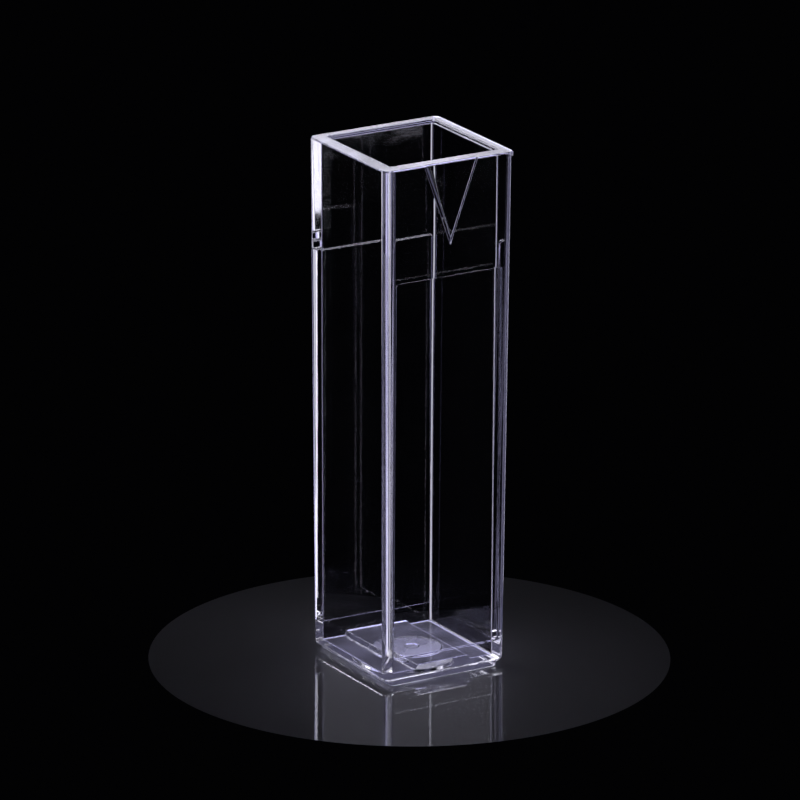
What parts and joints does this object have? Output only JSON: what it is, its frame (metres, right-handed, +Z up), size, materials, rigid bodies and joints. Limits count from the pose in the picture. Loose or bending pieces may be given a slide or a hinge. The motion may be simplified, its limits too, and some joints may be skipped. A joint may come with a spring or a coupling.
{
  "type": "cuvette",
  "caption": "Clear square measuring cuvette with an open top, recessed optical windows, a pointing mark at the rim and a low foot.",
  "frame": {"origin": "middle of the underside of the foot, where the cuvette stands on the bench", "axes": "+Z up to the open rim, +Y along the light path, from the window with the pointing mark to the other window, +X to the side whose rim has the small parting-line lip"},
  "size_m": [0.0126, 0.0126, 0.045],
  "materials": {
    "clear_polystyrene": "clear polished moulding, with a cool tint at its edges"
  },
  "bodies": {
    "root": {"cuvette": "clear_polystyrene"}
  },
  "joints": []
}
